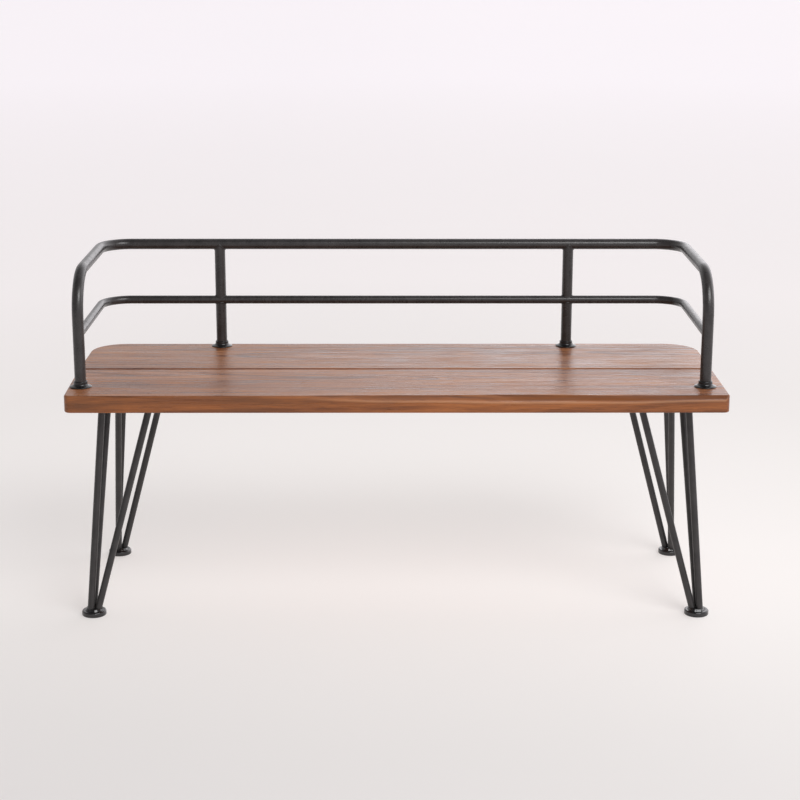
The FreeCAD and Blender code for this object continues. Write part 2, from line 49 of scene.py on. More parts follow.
ROD_R = 0.00675
FRONT_BEND = 0.080
REAR_BEND = 0.060
LOWER_BEND = 0.058
TUBE_SIDES = 56
ROD_SIDES = 40
HOLD = 0.0002
HAIR = 0.0001
SIDES = (("left", -1), ("right", 1))
CORNERS = ("front_left", "front_right", "rear_left", "rear_right")
UP = Vector((0, 0, 1))


def smooth(low, high, value):
    """0 below low, 1 above high, and a soft step between them."""
    t = max(0.0, min(1.0, (value - low) / (high - low)))
    return t * t * (3 - 2 * t)


def mix(a, b, t):
    return a + (b - a) * t


def waves(*place):
    """Even, repeatable noise from -1 to 1."""
    return noise.noise(Vector(place))


def spokes(count):
    """Cosine and sine of each of count even steps round a circle."""
    angles = [2 * math.pi * j / count for j in range(count)]
    return [(math.cos(angle), math.sin(angle)) for angle in angles]


def set_stops(ramp, stops):
    """Gives a colour ramp its stops, each a place from 0 to 1 and a colour."""
    elements = ramp.elements
    while len(elements) < len(stops):
        elements.new(0.5)
    for element, (where, colour) in zip(elements, stops):
        element.position = where
        element.color = (*colour, 1.0)


# ---------------------------------------------------------------- shaders
class Shader:
    """A node material that is put together one node at a time."""

    def __init__(self, name):
        self.material = bpy.data.materials.new(name)
        self.material.use_nodes = True
        self.tree = self.material.node_tree
        self.surface = self.tree.nodes["Principled BSDF"]

    def feed(self, socket, value):
        if isinstance(value, bpy.types.NodeSocket):
            self.tree.links.new(value, socket)
        else:
            socket.default_value = value

    def set(self, **sockets):
        """Feeds sockets of the surface shader; an underscore stands for a space in the name."""
        for name, value in sockets.items():
            self.feed(self.surface.inputs[name.replace("_", " ")], value)

    def add(self, kind, settings, inputs, output=0):
        made = self.tree.nodes.new(kind)
        for key, value in settings.items():
            setattr(made, key, value)
        for key, value in inputs.items():
            self.feed(made.inputs[key], value)
        return made.outputs[output]

    def number(self, operation, a, b):
        return self.add("ShaderNodeMath", {"operation": operation}, {0: a, 1: b})

    def plus(self, a, b):
        return self.number("ADD", a, b)

    def times(self, a, b):
        return self.number("MULTIPLY", a, b)

    def swing(self, texture, share):
        """A noise that is even round 0.5, as a swing of the given share round 0."""
        return self.times(self.number("SUBTRACT", texture, 0.5), share)

    def vector(self, operation, a, b):
        return self.add("ShaderNodeVectorMath", {"operation": operation}, {0: a, 1: b})

    def length(self, vector):
        return self.add("ShaderNodeVectorMath", {"operation": "LENGTH"}, {0: vector}, 1)

    def part(self, vector, axis):
        return self.add("ShaderNodeSeparateXYZ", {}, {0: vector}, axis)

    def noise(self, place, stretch, detail=2.0, rough=0.5, output=0):
        scaled = self.vector("MULTIPLY", place, stretch)
        inputs = {"Vector": scaled, "Scale": 1.0, "Detail": detail, "Roughness": rough}
        return self.add("ShaderNodeTexNoise", {}, inputs, output)

    def between(self, value, low, high, out_low=0.0, out_high=1.0):
        inputs = {0: value, 1: low, 2: high, 3: out_low, 4: out_high}
        settings = {"interpolation_type": "SMOOTHSTEP"}
        return self.add("ShaderNodeMapRange", settings, inputs)

    def blend(self, amount, a, b, how="MIX"):
        settings = {"data_type": "RGBA", "blend_type": how}
        return self.add("ShaderNodeMix", settings, {0: amount, 6: a, 7: b}, 2)

    def ramp(self, amount, stops):
        made = self.tree.nodes.new("ShaderNodeValToRGB")
        self.feed(made.inputs[0], amount)
        set_stops(made.color_ramp, stops)
        return made.outputs[0]

    def place(self):
        return self.add("ShaderNodeTexCoord", {}, {}, 3)

    def bump(self, height, strength, distance):
        inputs = {"Strength": strength, "Distance": distance, "Height": height}
        return self.add("ShaderNodeBump", {}, inputs)

    def spot(self, place, centre, reach):
        """1 at centre, falling to 0 at reach, as an ellipse along the three axes."""
        off = self.vector("SUBTRACT", place, centre)
        away = self.length(self.vector("DIVIDE", off, reach))
        return self.between(away, 0.0, 1.0, 1.0, 0.0)

    def attribute(self, name):
        return self.add("ShaderNodeAttribute", {"attribute_name": name}, {}, 2)


NOISE_LOW = 0.3
NOISE_HIGH = 0.7
COAT_LIGHTER = 1.5
COAT_DARKER = 0.75
COAT_DULLER = 1.14
COAT_SHINIER = 0.88
COAT_MOTTLE = (35, 35, 35)
COAT_GLOSS = (90, 90, 60)
COAT_PEEL = (850, 850, 850)
COAT_RELIEF = 0.0004


def powder_coat(name, colour, roughness, peel, ior=1.5):
    """Black powder coat: nearly even, with orange peel and faint changes in gloss."""
    s = Shader(name)
    place = s.place()
    mottle = s.noise(place, COAT_MOTTLE, 4.0, 0.6)
    lighter = [channel * COAT_LIGHTER for channel in colour]
    darker = [channel * COAT_DARKER for channel in colour]
    gloss = s.noise(place, COAT_GLOSS, 3.0, 0.55)
    grain = s.noise(place, COAT_PEEL, 2.0, 0.5)
    shiny = roughness * COAT_SHINIER
    dull = roughness * COAT_DULLER
    s.set(Base_Color=s.ramp(mottle, ((NOISE_LOW, darker), (NOISE_HIGH, lighter))),
          Roughness=s.between(gloss, NOISE_LOW, NOISE_HIGH, shiny, dull),
          Normal=s.bump(grain, peel, COAT_RELIEF),
          IOR=ior)
    return s.material


ZINC_DARK = (0.36, 0.36, 0.35)
ZINC_PALE = (0.56, 0.56, 0.54)
ZINC_CLOUD = (260, 260, 260)
ZINC_ROUGHNESS = (0.26, 0.42)


def zinc(name):
    """Bright zinc plate with a faint clouded grain."""
    s = Shader(name)
    cloud = s.noise(s.place(), ZINC_CLOUD, 4.0, 0.6)
    s.set(Base_Color=s.ramp(cloud, ((NOISE_LOW, ZINC_DARK), (NOISE_HIGH, ZINC_PALE))),
          Metallic=1.0,
          Roughness=s.between(cloud, NOISE_LOW, NOISE_HIGH, *ZINC_ROUGHNESS),
          Normal=s.bump(cloud, 0.06, 0.0003))
    return s.material


# Colours and grain of the wood. A grain is how fast its noise changes along, across and through a board.
WOOD_DARK = (0.070, 0.021, 0.010)
WOOD_DEEP = (0.190, 0.064, 0.024)
WOOD_MID = (0.330, 0.118, 0.043)
WOOD_PALE = (0.500, 0.215, 0.090)
WOOD_STOPS = ((0.33, WOOD_DARK), (0.44, WOOD_DEEP), (0.53, WOOD_MID), (0.68, WOOD_PALE))
WOOD_WARM = (0.40, 0.155, 0.060)
# Painted light: the tint that makes the sides warmer and lighter than the top.
SIDE_PAINTED_LIGHT = (1.16, 1.02, 0.62)
BAND_TINT = (0.150, 0.044, 0.008)
# Painted highlight: the pale colour of the thin line along the waney ridge.
RIDGE_HIGHLIGHT_TINT = (0.58, 0.30, 0.16)
DRIFT_GRAIN = (1.5, 5.0, 5.0)
DRIFT_REACH = (0.0, 0.045, 0.030)
RIPPLE_GRAIN = (6.0, 22.0, 22.0)
RIPPLE_REACH = (0.0, 0.007, 0.005)
STREAK_GRAIN = (8.0, 170.0, 170.0)
LONG_GRAIN = (2.6, 48.0, 48.0)
BROAD_GRAIN = (1.3, 9.0, 9.0)
FIBRE_GRAIN = (16.0, 900.0, 900.0)
WARM_GRAIN = (0.9, 26.0, 26.0)
TORN_GRAIN = (5.0, 130.0, 130.0)
PORE_GRAIN = (30.0, 1500.0, 1500.0)
RINGS_A_METRE = 230.0
LEVEL_LOW = 0.3
LEVEL_HIGH = 0.9
LONG_SHARE = 0.34
BROAD_SHARE = 0.22
FIBRE_SHARE = 0.16
WARM_SHARE = 0.45
PORE_SHARE = 0.35
BAND_SHARE = 0.68
BAND_DULL = 0.40
RIDGE_HIGHLIGHT_SHARE = 0.50


def wood(name, pith, tilt, seed, marks, finish=(0.24, 0.50), pale=(1.0, 1.0, 1.0)):
    """Oiled hardwood cut along X. Growth rings are shells round a pith line that is not quite level,
    so the top shows long arches and the ends show rings. Marks are knots, streaks, colour patches
    and painted shade."""
    s = Shader(name)
    half = (0.5, 0.5, 0.5)
    place = s.place()
    moved = s.vector("ADD", place, (seed, seed * 0.37, seed * 0.11))
    drift = s.noise(moved, DRIFT_GRAIN, 3.0, 0.55, output=1)
    drift = s.vector("MULTIPLY", s.vector("SUBTRACT", drift, half), DRIFT_REACH)
    ripple = s.noise(moved, RIPPLE_GRAIN, 3.0, 0.6, output=1)
    ripple = s.vector("MULTIPLY", s.vector("SUBTRACT", ripple, half), RIPPLE_REACH)
    bent = s.vector("ADD", s.vector("ADD", place, drift), ripple)
    moved = s.vector("ADD", moved, ripple)

    along = s.part(bent, 0)
    leaning = s.add("ShaderNodeCombineXYZ", {}, {1: s.times(along, tilt[0]), 2: s.times(along, tilt[1])})
    across = s.vector("SUBTRACT", s.vector("ADD", bent, leaning), (0.0, *pith))
    radius = s.length(s.vector("MULTIPLY", across, (0.0, 1.0, 1.0)))
    ring_inputs = {"W": s.times(radius, RINGS_A_METRE), "Scale": 1.0, "Detail": 3.0, "Roughness": 0.6}
    rings = s.add("ShaderNodeTexNoise", {"noise_dimensions": "1D"}, ring_inputs)
    streak = s.noise(moved, STREAK_GRAIN, 6.0, 0.70)
    long_streak = s.noise(moved, LONG_GRAIN, 5.0, 0.62)
    broad = s.noise(moved, BROAD_GRAIN, 3.0, 0.5)
    fibre = s.noise(moved, FIBRE_GRAIN, 3.0, 0.6)

    facing = s.part(s.add("ShaderNodeNewGeometry", {}, {}, 1), 2)
    level = s.between(facing, LEVEL_LOW, LEVEL_HIGH)
    tone = s.swing(rings, s.plus(s.times(level, 0.34), 0.12))
    tone = s.plus(tone, s.swing(streak, s.plus(s.times(level, 0.68), 0.19)))
    tone = s.plus(tone, s.swing(long_streak, LONG_SHARE))
    tone = s.plus(tone, s.swing(broad, BROAD_SHARE))
    tone = s.plus(tone, s.swing(fibre, FIBRE_SHARE))
    # Painted light: the top gets a lighter tone than the sides, for how light falls on each.
    tone = s.plus(tone, s.between(facing, LEVEL_LOW, LEVEL_HIGH, 0.465, 0.515))
    stops = []
    for where, colour in WOOD_STOPS:
        stops.append((where, [channel * share for channel, share in zip(colour, pale)]))
    colour = s.ramp(tone, stops)

    warm = s.between(s.noise(moved, WARM_GRAIN, 2.0, 0.5), 0.55, 0.75, 0.0, WARM_SHARE)
    colour = s.blend(warm, colour, (*WOOD_WARM, 1.0))
    # Painted light: sides tinted warmer and lighter than the top, for the top's sheen and the front's
    # light.
    on_side = s.between(facing, LEVEL_LOW, LEVEL_HIGH, 1.0, 0.0)
    colour = s.blend(on_side, colour, (*SIDE_PAINTED_LIGHT, 1.0), "MULTIPLY")
    for centre, reach, tint, amount in marks:
        ragged = s.between(s.noise(moved, TORN_GRAIN, 3.0, 0.6), 0.30, 0.60)
        torn = s.times(s.spot(bent, centre, reach), ragged)
        colour = s.blend(s.times(torn, amount), colour, (*tint, 1.0))
    pored = s.between(s.noise(moved, PORE_GRAIN, 1.0, 0.5), 0.62, 0.70)
    colour = s.blend(s.times(pored, PORE_SHARE), colour, (*WOOD_DARK, 1.0))
    band = s.attribute("band")
    colour = s.blend(s.times(band, BAND_SHARE), colour, (*BAND_TINT, 1.0))
    # Painted highlight: a pale line along the ridge of the waney edge, beside its real shape.
    ridge = s.attribute("ridge")
    colour = s.blend(s.times(ridge, RIDGE_HIGHLIGHT_SHARE), colour, (*RIDGE_HIGHLIGHT_TINT, 1.0))

    gloss = s.between(streak, 0.35, 0.65, *finish)
    relief = s.number("SUBTRACT", s.times(fibre, 0.5), s.times(pored, 0.6))
    relief = s.plus(relief, s.times(rings, 0.8))
    relief = s.plus(relief, s.times(streak, 1.2))
    s.set(Base_Color=colour,
          Roughness=s.plus(gloss, s.times(band, BAND_DULL)),
          Normal=s.bump(relief, 0.30, 0.0008))
    return s.material


FRAME_METAL = powder_coat("frame_powder_coat", (0.0270, 0.0242, 0.0240), 0.28, 0.03, 1.52)
LEG_METAL = powder_coat("leg_powder_coat", (0.0240, 0.0218, 0.0218), 0.36, 0.04)
FLANGE_METAL = powder_coat("flange_powder_coat", (0.0100, 0.0095, 0.0100), 0.17, 0.03)
FOOT_METAL = powder_coat("foot_powder_coat", (0.0110, 0.0104, 0.0110), 0.17, 0.03, 1.6)
FASTENER = zinc("fastener_zinc")

seat_lo, seat_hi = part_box("front_plank")
rear_lo, rear_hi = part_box("rear_plank")
SEAT_TOP = seat_hi.z
KNOT = (0.075, 0.030, 0.016)
STREAK = (0.115, 0.038, 0.020)
AMBER = (0.42, 0.170, 0.060)
# Painted shade colour for the left of the front face.
PAINTED_SHADE = (0.125, 0.045, 0.015)
# Each mark is its centre, its reach along the three axes, its colour and how strong it is.
front_marks = (
    ((0.513, -0.154, SEAT_TOP), (0.012, 0.010, 0.020), KNOT, 0.9),
    ((0.532, -0.089, SEAT_TOP), (0.026, 0.010, 0.020), KNOT, 0.6),
    # Painted shade: a darker wash over the left half of the front face, where the light is weaker.
    ((-0.50, seat_lo.y, SEAT_TOP - 0.014), (0.72, 0.006, 0.040), PAINTED_SHADE, 0.85),
)
rear_marks = (
    ((-0.517, 0.035, SEAT_TOP), (0.130, 0.009, 0.030), STREAK, 0.9),
    ((-0.580, 0.143, SEAT_TOP), (0.090, 0.030, 0.030), AMBER, 0.6),
    ((0.289, 0.138, SEAT_TOP), (0.060, 0.012, 0.030), STREAK, 0.8),
    ((0.476, 0.130, SEAT_TOP), (0.055, 0.014, 0.030), STREAK, 0.7),
)
FRONT_WOOD = wood("seat_wood_front", (-0.085, SEAT_TOP - 0.075), (0.030, 0.020), 3.1, front_marks,
                  pale=(0.96, 0.98, 1.04))
REAR_WOOD = wood("seat_wood_rear", (0.130, SEAT_TOP - 0.085), (-0.040, -0.024), 7.7, rear_marks,
                 pale=(0.96, 0.96, 0.92))
BATTEN_WOOD = wood("batten_wood", (0.0, SEAT_TOP - 0.2), (0.02, 0.0), 12.3, (),
                   finish=(0.5, 0.65), pale=(0.85, 0.85, 0.85))


# ---------------------------------------------------------------- meshes
BEND_STEPS = 28
TURNED_SIDES = 96
BEAD_SIDES = 12
BEAD_PITCH = 0.0031
BEAD_RIPPLE = 0.10
BEAD_LUMPS = 0.16
BEAD_LUMPS_A_METRE = 90


def piece(name, points, faces, material, nodes=(), values=None):
    """A mesh that rides with the bench, smooth but for its end caps. values holds lists of one number
    a point, by the name of the attribute they go to."""
    mesh = bpy.data.meshes.new(name)
    mesh.from_pydata([tuple(p) for p in points], [], faces)
    shell = bmesh.new()
    shell.from_mesh(mesh)
    bmesh.ops.recalc_face_normals(shell, faces=shell.faces)
    shell.to_mesh(mesh)
    shell.free()
    for key, numbers in (values or {}).items():
        mesh.attributes.new(key, "FLOAT", "POINT").data.foreach_set("value", numbers)
    for face in mesh.polygons:
        face.use_smooth = len(face.vertices) <= 4
    mesh.materials.append(material)
    made = bpy.data.objects.new(name, mesh)
    bpy.context.scene.collection.objects.link(made)
    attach(made, "root")
    if nodes:
        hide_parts(*nodes)
    return made


def held(rings):
    """The same rings with one more close to each end, so that a cap does not bend the shading beside it."""
    def beside(end, next_one):
        share = HOLD / (end[0] - next_one[0]).length
        return [p + (q - p) * share for p, q in zip(end, next_one)]
    return [rings[0], beside(rings[0], rings[1])] + rings[1:-1] + [beside(rings[-1], rings[-2]), rings[-1]]


def skin(rings, looped=False, caps=True):
    """Points and faces that join each ring to the next one."""
    around = len(rings[0])
    points = [p for ring in rings for p in ring]
    faces = []
    spans = len(rings) if looped else len(rings) - 1
    for k in range(spans):
        a = k * around
        b = (k + 1) % len(rings) * around
        for j in range(around):
            m = (j + 1) % around
            faces.append((a + j, a + m, b + m, b + j))
    if caps and not looped:
        faces.append(tuple(range(around))[::-1])
        faces.append(tuple(range(len(points) - around, len(points))))
    return points, faces


def join(parts):
    """Several (points, faces) pairs as one."""
    points, faces = [], []
    for some, shapes in parts:
        start = len(points)
        points += some
        faces += [tuple(start + index for index in shape) for shape in shapes]
    return points, faces


def bent_path(corners, bends):
    """A line through the corners, with an arc of the given radius at each inner one."""
    path = [corners[0]]
    for before, here, after, radius in zip(corners, corners[1:], corners[2:], bends):
        back = (before - here).normalized()
        on = (after - here).normalized()
        half = back.angle(on) / 2
        start = here + back * radius / math.tan(half)
        centre = here + (back + on).normalized() * radius / math.sin(half)
        turn = math.pi - 2 * half
        first = (start - centre).normalized()
        second = -back
        for k in range(BEND_STEPS + 1):
            angle = turn * k / BEND_STEPS
            path.append(centre + (first * math.cos(angle) + second * math.sin(angle)) * radius)
    path.append(corners[-1])
    return path


def sweep(path, radius, sides, looped=False):
    """Rings along a path. radius is a number, or a function of the distance along it."""
    count = len(path)
    tangents = []
    for k in range(count):
        ahead = path[(k + 1) % count] if looped or k < count - 1 else path[k]
        behind = path[k - 1] if looped or k > 0 else path[k]
        tangents.append((ahead - behind).normalized())
    side = tangents[0].orthogonal().normalized()
    frames = [side]
    for k in range(1, count + (1 if looped else 0)):
        turn = tangents[k - 1].rotation_difference(tangents[k % count])
        side = turn @ side
        frames.append(side)
    twist = 0.0
    if looped:
        other = tangents[0].cross(frames[0])
        twist = math.atan2(frames[-1].dot(other), frames[-1].dot(frames[0]))
    rings = []
    gone = 0.0
    for k in range(count):
        if k:
            gone += (path[k] - path[k - 1]).length
        u = Matrix.Rotation(-twist * k / count, 3, tangents[k]) @ frames[k]
        v = tangents[k].cross(u)
        r = radius(gone) if callable(radius) else radius
        rings.append([path[k] + (u * x + v * y) * r for x, y in spokes(sides)])
    return rings


def bead(path, size, seed):
    """A weld bead: a thin closed tube with the ripples that a welder leaves, softened by the coating."""
    def radius(gone):
        ripple = BEAD_RIPPLE * math.sin(2 * math.pi * gone / BEAD_PITCH)
        return size * (1 + ripple + BEAD_LUMPS * waves(gone * BEAD_LUMPS_A_METRE, seed, 0.3))
    return skin(sweep(path, radius, BEAD_SIDES, True), True)


def turned(profile, centre):
    """Rings of a shape turned round a vertical axis. The profile is (radius, height) pairs."""
    rings = []
    for radius, height in profile:
        rings.append([centre + Vector((radius * x, radius * y, height)) for x, y in spokes(TURNED_SIDES)])
    return rings


def arc(centre, radius, start, end, steps):
    """Points of an arc in a turned profile; angles in degrees, from the radius axis."""
    found = []
    for k in range(steps + 1):
        angle = math.radians(mix(start, end, k / steps))
        found.append((centre[0] + radius * math.cos(angle), centre[1] + radius * math.sin(angle)))
    return found


# ---------------------------------------------------------------- rails and posts
up_lo, up_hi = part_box("upper_rail")
low_lo, low_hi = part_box("lower_rail")
rail_z = up_hi.z - TUBE_R
post_front_y = up_lo.y + TUBE_R
rail_back_y = up_hi.y - TUBE_R
arm_left = up_lo.x + TUBE_R
arm_right = up_hi.x - TUBE_R
upper_corners = [
    Vector((arm_left, post_front_y, up_lo.z)),
    Vector((arm_left, post_front_y, rail_z)),
    Vector((arm_left, rail_back_y, rail_z)),
    Vector((arm_right, rail_back_y, rail_z)),
    Vector((arm_right, post_front_y, rail_z)),
    Vector((arm_right, post_front_y, up_lo.z)),
]
upper_path = bent_path(upper_corners, (FRONT_BEND, REAR_BEND, REAR_BEND, FRONT_BEND))
points, faces = skin(held(sweep(upper_path, TUBE_R, TUBE_SIDES)))
piece("upper_rail_tube", points, faces, FRAME_METAL, ("upper_rail",))

lower_z = (low_lo.z + low_hi.z) / 2
lower_back_y = low_hi.y - LOWER_R
lower_left = low_lo.x + LOWER_R
lower_right = low_hi.x - LOWER_R
IN_POST = 0.1
inside_post = post_front_y + TUBE_R * IN_POST
lower_corners = [
    Vector((lower_left, inside_post, lower_z)),
    Vector((lower_left, lower_back_y, lower_z)),
    Vector((lower_right, lower_back_y, lower_z)),
    Vector((lower_right, inside_post, lower_z)),
]
lower_path = bent_path(lower_corners, (LOWER_BEND, LOWER_BEND))
points, faces = skin(held(sweep(lower_path, LOWER_R, TUBE_SIDES)))
piece("lower_rail_tube", points, faces, FRAME_METAL, ("lower_rail",))

SADDLE_BITE = 0.0003
SADDLE_WELD = 0.0015
SADDLE_STEPS = 150
CROSSING_WELD = 0.0013
CROSSING_STEPS = 120
ARM_WELD = 0.0014
ARM_STEPS = 110


def saddle_ring(middle, count, lift):
    """Where a rear post's outside meets the underside of the upper rail."""
    ring = []
    for x, y in spokes(count):
        out = Vector((x, y, 0)) * TUBE_R
        ring.append(middle + out + UP * (rail_z - TUBE_R * abs(x) + lift))
    return ring


def crossing_ring(middle):
    """Where the lower rail runs into and out of a rear post."""
    reach = middle.y - lower_back_y
    crossing = []
    for half in (1, -1):
        found = []
        for k in range(1, CROSSING_STEPS):
            angle = 2 * math.pi * k / CROSSING_STEPS - math.pi
            y = LOWER_R * math.cos(angle) - reach
            z = LOWER_R * math.sin(angle)
            if abs(y) < TUBE_R:
                found.append(Vector((half * math.sqrt(TUBE_R ** 2 - y * y), y, z)))
        crossing += found if half > 0 else found[::-1]
    return [middle + UP * lower_z + p for p in crossing]


def arm_ring(arm_x, post_x):
    """Where the lower rail's arm meets the back of a front post."""
    ring = []
    for x, z in spokes(ARM_STEPS):
        aside = arm_x - post_x + LOWER_R * x
        back = math.sqrt(TUBE_R ** 2 - aside * aside)
        ring.append(Vector((post_x + aside, post_front_y + back, lower_z + LOWER_R * z)))
    return ring


for side, sign in SIDES:
    node = "rear_post_" + side
    post_lo, post_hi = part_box(node)
    middle = Vector(((post_lo.x + post_hi.x) / 2, (post_lo.y + post_hi.y) / 2, 0))
    foot_ring = [middle + Vector((x, y, 0)) * TUBE_R + UP * post_lo.z for x, y in spokes(TUBE_SIDES)]
    points, faces = skin(held([foot_ring, saddle_ring(middle, TUBE_SIDES, SADDLE_BITE)]))
    piece("rear_post_tube_" + side, points, faces, FRAME_METAL, (node,))

    points, faces = bead(saddle_ring(middle, SADDLE_STEPS, 0.0), SADDLE_WELD, 1.7 + sign)
    piece("weld_saddle_" + side, points, faces, FRAME_METAL)
    points, faces = bead(crossing_ring(middle), CROSSING_WELD, 4.2 + sign)
    piece("weld_crossing_" + side, points, faces, FRAME_METAL)
    arm_x = lower_left if sign < 0 else lower_right
    post_x = arm_left if sign < 0 else arm_right
    points, faces = bead(arm_ring(arm_x, post_x), ARM_WELD, 6.9 + sign)
    piece("weld_arm_" + side, points, faces, FRAME_METAL)


# ---------------------------------------------------------------- flanges and feet
COLLAR_THICK = 0.0024
COLLAR_COVE = 0.0042
COLLAR_ROUND = 0.0014
FLARE_HIGH = 0.0034
RIM_EDGE = 0.0009
for corner in CORNERS:
    node = "flange_" + corner
    lo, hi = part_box(node)
    rim = (hi.x - lo.x) / 2
    tall = hi.z - lo.z
    base = Vector(((lo.x + hi.x) / 2, (lo.y + hi.y) / 2, lo.z))
    bore = TUBE_R + HAIR
    collar = TUBE_R + COLLAR_THICK
    profile = [(bore, 0.0), (rim - RIM_EDGE, 0.0)]
    profile += arc((rim - RIM_EDGE, RIM_EDGE), RIM_EDGE, -90, 70, 7)[1:]
    profile += arc((collar + COLLAR_COVE, FLARE_HIGH + COLLAR_COVE), COLLAR_COVE, 264, 180, 12)
    profile += arc((collar - COLLAR_ROUND, tall - COLLAR_ROUND), COLLAR_ROUND, 0, 90, 6)
    profile += [(bore, tall)]
    points, faces = skin(turned(profile, base), looped=True)
    piece("flange_cast_" + corner, points, faces, FLANGE_METAL, (node,))

RODS = ("corner", "middle", "inner")
MOUND_R = 0.0190
MOUND_HIGH = 0.0060
MOUND_SUNK = 0.0003
MOUND_STEPS = 14
MOUND_SIDES = 56
POINT_R = 0.0002
FACE_FLAT = 1e-5


def rod_end(node, top):
    """Centre of a rod's upper or lower end face."""
    corners = [v.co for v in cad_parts[node].data.vertices]
    level = max(p.z for p in corners) if top else min(p.z for p in corners)
    face = [p for p in corners if abs(p.z - level) < FACE_FLAT]
    xs = [p.x for p in face]
    ys = [p.y for p in face]
    return Vector(((min(xs) + max(xs)) / 2, (min(ys) + max(ys)) / 2, level))


def cut_ring(centre, axis, radius, sides):
    """Where a round bar along axis meets the level plane through centre."""
    u = axis.orthogonal().normalized()
    v = axis.cross(u)
    ring = []
    for x, y in spokes(sides):
        out = (u * x + v * y) * radius
        ring.append(centre + out - axis * (out.z / axis.z))
    return ring


def mound(pool, seed):
    """The lumpy heap of weld metal that ties the three rods to their foot."""
    rings = []
    for k in range(MOUND_STEPS + 1):
        t = k / MOUND_STEPS
        out = mix(MOUND_R, POINT_R, t)
        rise = MOUND_HIGH * (smooth(0.0, 0.30, t) + 0.25 * t) - MOUND_SUNK
        ring = []
        for x, y in spokes(MOUND_SIDES):
            lumps = 1 + 0.10 * waves(x * 1.6, y * 1.6, seed) + 0.06 * waves(x * 5, y * 5, seed + t * 3)
            ring.append(pool + Vector((x * out * lumps, y * out * lumps, rise * lumps)))
        rings.append(ring)
    return skin(rings)


FOOT_RIM_ROUND = 0.0028
SOLE_ROUND = 0.0016
SOLE_IN = 0.0026
DISH_R = 0.0170
DISH_DEEP = 0.0015
DISH_ROUND = 0.0012
DISH_FLAT = 0.6
FOOT_WELD = 0.0015
PLATE_WELD = 0.0017
WELD_OUT = 0.0005
WELD_LIFT = 0.0008
WELD_STEPS = 90
for corner in CORNERS:
    lo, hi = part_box("foot_" + corner)
    rim = (hi.x - lo.x) / 2
    tall = hi.z - lo.z
    base = Vector(((lo.x + hi.x) / 2, (lo.y + hi.y) / 2, lo.z))
    dish = tall - DISH_DEEP
    profile = [(POINT_R, 0.0), (rim - SOLE_IN, 0.0)]
    profile += arc((rim - SOLE_ROUND, SOLE_ROUND), SOLE_ROUND, -90, 0, 5)[1:]
    profile += arc((rim - FOOT_RIM_ROUND, tall - FOOT_RIM_ROUND), FOOT_RIM_ROUND, 0, 90, 8)
    profile += arc((DISH_R + DISH_ROUND, tall - DISH_ROUND), DISH_ROUND, 90, 150, 5)
    profile += arc((DISH_R - DISH_ROUND, dish + DISH_ROUND), DISH_ROUND, -30, -90, 5)
    profile += [(DISH_R * DISH_FLAT, dish), (POINT_R, dish)]
    points, faces = skin(turned(profile, base))
    piece("foot_disc_" + corner, points, faces, FOOT_METAL, ("foot_" + corner,))
    foot_welds = []
    plate_welds = []
    for k, label in enumerate(RODS):
        node = "rod_%s_%s" % (label, corner)
        bottom = rod_end(node, False)
        top = rod_end(node, True)
        axis = (top - bottom).normalized()
        rings = [cut_ring(bottom, axis, ROD_R, ROD_SIDES), cut_ring(top, axis, ROD_R, ROD_SIDES)]
        points, faces = skin(held(rings))
        piece("leg_" + node, points, faces, LEG_METAL, (node,))
        lift = axis * (WELD_LIFT / axis.z)
        low_ring = cut_ring(bottom + lift, axis, ROD_R + WELD_OUT, WELD_STEPS)
        high_ring = cut_ring(top - lift, axis, ROD_R + WELD_OUT, WELD_STEPS)
        foot_welds.append(bead(low_ring, FOOT_WELD, k + base.x))
        plate_welds.append(bead(high_ring, PLATE_WELD, k + base.y))
    foot_welds.append(mound(base + UP * dish, base.x + base.y))
    points, faces = join(foot_welds)
    piece("weld_foot_" + corner, points, faces, FOOT_METAL)
    points, faces = join(plate_welds)
    piece("weld_plate_" + corner, points, faces, LEG_METAL)


# ---------------------------------------------------------------- seat boards
FRONT_LEAN = 0.006
FRONT_CORNER = 0.012
REAR_CORNER = 0.070
GAP_CORNER = 0.0045
EDGE_ROUND = 0.0030
GAP_ROUND = 0.0012
RIM_STEP = 0.004
FLAT_RING = 0.001
UNDER_STEPS = 5
SIDE_LEVELS = (0.15, 0.35, 0.55, 0.70, 0.80, 0.90, 0.97)
BAND_STEPS = 10
EDGE_SHIFT = 0.0004
EDGE_WOBBLE = 0.0004
EDGE_KEEP = 0.015
RIDGE_DEEP = 0.0103
RIDGE_LOWER = 0.0030
RIDGE_HIGHER = 0.0050
RIDGE_WOBBLE = 0.0011
BAND_BACK = 0.0060
BAND_FURTHER = 0.0050
BAND_WOBBLE = 0.0012
SIDE_HOLLOW = 0.0007
BAND_FLAT = 0.72
ARRIS_DARK = 0.95
LEFT_DARK = 0.55


def outline(corners):
    """Points and outward normals round a plan shape. Corners are (x, y, radius), anticlockwise."""
    found = []
    spots = [Vector((x, y)) for x, y, _ in corners]
    arcs = []
    for k, here in enumerate(spots):
        back = (spots[k - 1] - here).normalized()
        on = (spots[(k + 1) % len(spots)] - here).normalized()
        half = back.angle(on) / 2
        radius = corners[k][2]
        centre = here + (back + on).normalized() * radius / math.sin(half)
        first = here + back * radius / math.tan(half)
        last = here + on * radius / math.tan(half)
        arcs.append((centre, first, last, radius, math.pi - 2 * half))
    for k, (centre, first, last, radius, turn) in enumerate(arcs):
        start = math.atan2(first.y - centre.y, first.x - centre.x)
        steps = max(6, int(turn * radius / RIM_STEP) + 1)
        for j in range(steps + 1):
            angle = start + turn * j / steps
            normal = Vector((math.cos(angle), math.sin(angle)))
            found.append((centre + normal * radius, normal))
        following = arcs[(k + 1) % len(arcs)][1]
        run = following - last
        normal = Vector((run.y, -run.x)).normalized()
        spans = max(2, int(run.length / RIM_STEP))
        for j in range(1, spans):
            found.append((last + run * j / spans, normal))
    return found


